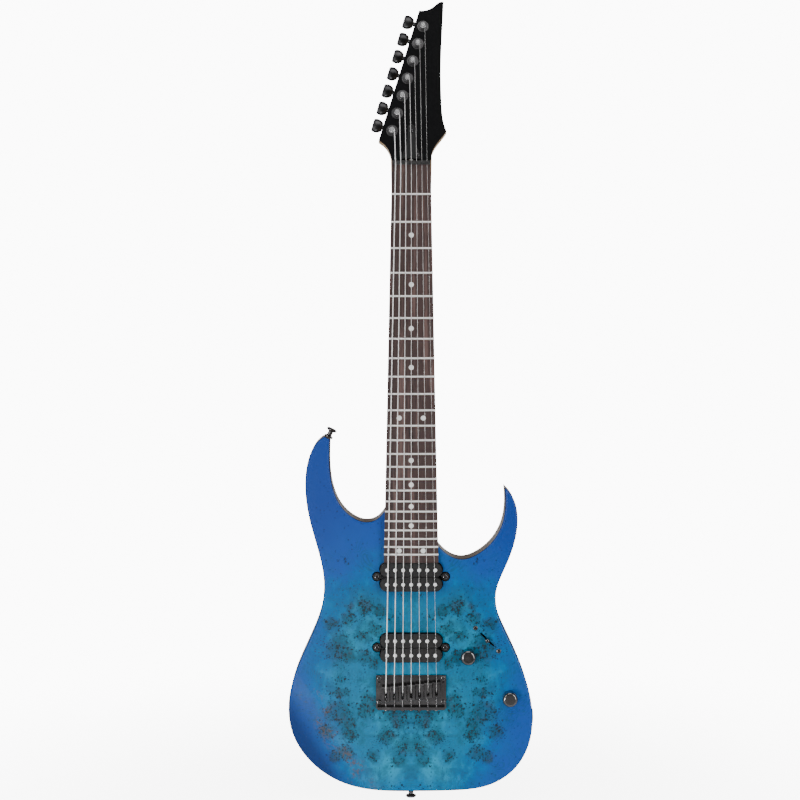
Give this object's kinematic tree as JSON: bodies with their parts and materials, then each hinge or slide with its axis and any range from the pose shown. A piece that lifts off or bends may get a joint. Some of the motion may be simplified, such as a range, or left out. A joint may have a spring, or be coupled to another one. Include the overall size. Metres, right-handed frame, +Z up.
{
  "type": "electric guitar",
  "caption": "Solid-body electric guitar with bolt-on neck, tilted headstock, two humbucking pickups, fixed string-through bridge and figured blue top.",
  "frame": {"origin": "centre line of the neck at the front edge of the nut, in the plane where the fretboard is glued on; a wall hanger or stand yoke holds the guitar here", "axes": "+Z up the neck towards the headstock, -Y out of the playing face, +X to the right seen from the front"},
  "size_m": [0.3102, 0.0793, 1.0073],
  "materials": {
    "figured_top": "satin, transparent blue burst over figured burl",
    "body_timber": "satin, natural brown with open grain",
    "neck_timber": "satin, pale maple",
    "gloss_black": "gloss lacquer",
    "fretboard_timber": "oiled dark open grain",
    "fret_metal": "polished",
    "nut_black": "matte",
    "marker_white": "pearl",
    "rod_steel": "plain",
    "black_plastic": "satin moulded",
    "coil_tape": "woven tape",
    "pole_steel": "plated",
    "string_steel": "bright wound and plain wire",
    "wire_insulation": "matte",
    "pot_steel": "plain",
    "black_chrome": "smoked black plating"
  },
  "bodies": {
    "root": {"body_core": "body_timber", "body_top": "figured_top", "bridge_plate": "black_chrome", "control_cover": "black_plastic", "fretboard": "fretboard_timber", "frets": "fret_metal", "headstock_face": "gloss_black", "intonation_screws": "black_chrome", "long_wood_screws": "black_chrome", "machine_screws": "black_chrome", "neck": "neck_timber", "neck_bolts": "black_chrome", "neck_ferrules": "black_chrome", "nut": "nut_black", "output_jack": "black_chrome", "position_markers": "marker_white", "pot_housings": "pot_steel", "small_wood_screws": "black_chrome", "strap_buttons": "black_chrome", "string_ferrules": "black_chrome", "strings": "string_steel", "switch_frame": "pot_steel", "truss_rod": "rod_steel", "truss_rod_cover": "black_plastic", "tuner_bushings": "black_chrome", "tuner_housings": "black_chrome", "wiring": "wire_insulation"},
    "tuner_post_7": {"tuner_post_7": "black_chrome"},
    "tuner_key_7": {"tuner_key_7": "black_chrome"},
    "saddle_7": {"saddle_7": "black_chrome"},
    "tuner_post_6": {"tuner_post_6": "black_chrome"},
    "tuner_key_6": {"tuner_key_6": "black_chrome"},
    "saddle_6": {"saddle_6": "black_chrome"},
    "tuner_post_5": {"tuner_post_5": "black_chrome"},
    "tuner_key_5": {"tuner_key_5": "black_chrome"},
    "saddle_5": {"saddle_5": "black_chrome"},
    "tuner_post_4": {"tuner_post_4": "black_chrome"},
    "tuner_key_4": {"tuner_key_4": "black_chrome"},
    "saddle_4": {"saddle_4": "black_chrome"},
    "tuner_post_3": {"tuner_post_3": "black_chrome"},
    "tuner_key_3": {"tuner_key_3": "black_chrome"},
    "saddle_3": {"saddle_3": "black_chrome"},
    "tuner_post_2": {"tuner_post_2": "black_chrome"},
    "tuner_key_2": {"tuner_key_2": "black_chrome"},
    "saddle_2": {"saddle_2": "black_chrome"},
    "tuner_post_1": {"tuner_post_1": "black_chrome"},
    "tuner_key_1": {"tuner_key_1": "black_chrome"},
    "saddle_1": {"saddle_1": "black_chrome"},
    "neck_pickup": {"neck_pickup_bobbins": "black_plastic", "neck_pickup_coils": "coil_tape", "neck_pickup_poles": "pole_steel", "neck_pickup_base": "black_plastic"},
    "bridge_pickup": {"bridge_pickup_bobbins": "black_plastic", "bridge_pickup_coils": "coil_tape", "bridge_pickup_poles": "pole_steel", "bridge_pickup_base": "black_plastic"},
    "volume_knob": {"volume_knob": "black_chrome"},
    "tone_knob": {"tone_knob": "black_chrome"},
    "switch_lever": {"switch_lever": "black_chrome"},
    "truss_rod_nut": {"truss_rod_nut": "rod_steel"}
  },
  "joints": [
    {"name": "key_turn_7", "type": "hinge", "parent": "root", "child": "tuner_key_7", "pos_m": [-0.02211, 0.02919, 0.04388], "axis": [-0.9614, 0.0619, 0.268], "continuous": true},
    {"name": "post_turn_7", "type": "hinge", "parent": "root", "child": "tuner_post_7", "pos_m": [-0.0239, 0.00859, 0.04222], "axis": [0, -0.9744, 0.225], "continuous": true},
    {"name": "saddle_slide_7", "type": "slide", "parent": "root", "child": "saddle_7", "axis": [0, 0, 1], "range_m": [-0.0015, 0.0015]},
    {"name": "key_turn_6", "type": "hinge", "parent": "root", "child": "tuner_key_6", "pos_m": [-0.01568, 0.03425, 0.06578], "axis": [-0.9614, 0.0619, 0.268], "continuous": true},
    {"name": "post_turn_6", "type": "hinge", "parent": "root", "child": "tuner_post_6", "pos_m": [-0.01747, 0.01365, 0.06413], "axis": [0, -0.9744, 0.225], "continuous": true},
    {"name": "saddle_slide_6", "type": "slide", "parent": "root", "child": "saddle_6", "axis": [0, 0, 1], "range_m": [-0.0015, 0.0015]},
    {"name": "key_turn_5", "type": "hinge", "parent": "root", "child": "tuner_key_5", "pos_m": [-0.00925, 0.03931, 0.08769], "axis": [-0.9614, 0.0619, 0.268], "continuous": true},
    {"name": "post_turn_5", "type": "hinge", "parent": "root", "child": "tuner_post_5", "pos_m": [-0.01104, 0.01871, 0.08603], "axis": [0, -0.9744, 0.225], "continuous": true},
    {"name": "saddle_slide_5", "type": "slide", "parent": "root", "child": "saddle_5", "axis": [0, 0, 1], "range_m": [-0.0015, 0.0015]},
    {"name": "key_turn_4", "type": "hinge", "parent": "root", "child": "tuner_key_4", "pos_m": [-0.00282, 0.04437, 0.10959], "axis": [-0.9614, 0.0619, 0.268], "continuous": true},
    {"name": "post_turn_4", "type": "hinge", "parent": "root", "child": "tuner_post_4", "pos_m": [-0.00461, 0.02376, 0.10793], "axis": [0, -0.9744, 0.225], "continuous": true},
    {"name": "saddle_slide_4", "type": "slide", "parent": "root", "child": "saddle_4", "axis": [0, 0, 1], "range_m": [-0.0015, 0.0015]},
    {"name": "key_turn_3", "type": "hinge", "parent": "root", "child": "tuner_key_3", "pos_m": [0.00361, 0.04942, 0.13149], "axis": [-0.9614, 0.0619, 0.268], "continuous": true},
    {"name": "post_turn_3", "type": "hinge", "parent": "root", "child": "tuner_post_3", "pos_m": [0.00182, 0.02882, 0.12984], "axis": [0, -0.9744, 0.225], "continuous": true},
    {"name": "saddle_slide_3", "type": "slide", "parent": "root", "child": "saddle_3", "axis": [0, 0, 1], "range_m": [-0.0015, 0.0015]},
    {"name": "key_turn_2", "type": "hinge", "parent": "root", "child": "tuner_key_2", "pos_m": [0.01004, 0.05448, 0.1534], "axis": [-0.9614, 0.0619, 0.268], "continuous": true},
    {"name": "post_turn_2", "type": "hinge", "parent": "root", "child": "tuner_post_2", "pos_m": [0.00825, 0.03388, 0.15174], "axis": [0, -0.9744, 0.225], "continuous": true},
    {"name": "saddle_slide_2", "type": "slide", "parent": "root", "child": "saddle_2", "axis": [0, 0, 1], "range_m": [-0.0015, 0.0015]},
    {"name": "key_turn_1", "type": "hinge", "parent": "root", "child": "tuner_key_1", "pos_m": [0.01647, 0.05953, 0.1753], "axis": [-0.9614, 0.0619, 0.268], "continuous": true},
    {"name": "post_turn_1", "type": "hinge", "parent": "root", "child": "tuner_post_1", "pos_m": [0.01468, 0.03893, 0.17364], "axis": [0, -0.9744, 0.225], "continuous": true},
    {"name": "saddle_slide_1", "type": "slide", "parent": "root", "child": "saddle_1", "axis": [0, 0, 1], "range_m": [-0.0015, 0.0015]},
    {"name": "neck_pickup_height", "type": "slide", "parent": "root", "child": "neck_pickup", "axis": [0, 1, 0], "range_m": [0, 0.0025]},
    {"name": "bridge_pickup_height", "type": "slide", "parent": "root", "child": "bridge_pickup", "axis": [0, 1, 0], "range_m": [0, 0.0025]},
    {"name": "volume_turn", "type": "hinge", "parent": "root", "child": "volume_knob", "pos_m": [0.0717, 0, -0.6159], "axis": [0, -1, 0], "range_deg": [0, 300]},
    {"name": "tone_turn", "type": "hinge", "parent": "root", "child": "tone_knob", "pos_m": [0.1244, 0, -0.669], "axis": [0, -1, 0], "range_deg": [0, 300]},
    {"name": "selector_swing", "type": "hinge", "parent": "root", "child": "switch_lever", "pos_m": [0.0958, 0.024, -0.595], "axis": [0.7071, 0, 0.7071], "range_deg": [-17, 17]},
    {"name": "truss_nut_turn", "type": "hinge", "parent": "root", "child": "truss_rod_nut", "pos_m": [0, 0.006, 0.005], "axis": [0, 0, 1], "range_deg": [-360, 360]}
  ],
  "couplings": [
    {"joint": "post_turn_7", "follows": "key_turn_7", "ratio": 0.066667},
    {"joint": "post_turn_6", "follows": "key_turn_6", "ratio": 0.066667},
    {"joint": "post_turn_5", "follows": "key_turn_5", "ratio": 0.066667},
    {"joint": "post_turn_4", "follows": "key_turn_4", "ratio": 0.066667},
    {"joint": "post_turn_3", "follows": "key_turn_3", "ratio": 0.066667},
    {"joint": "post_turn_2", "follows": "key_turn_2", "ratio": 0.066667},
    {"joint": "post_turn_1", "follows": "key_turn_1", "ratio": 0.066667}
  ]
}
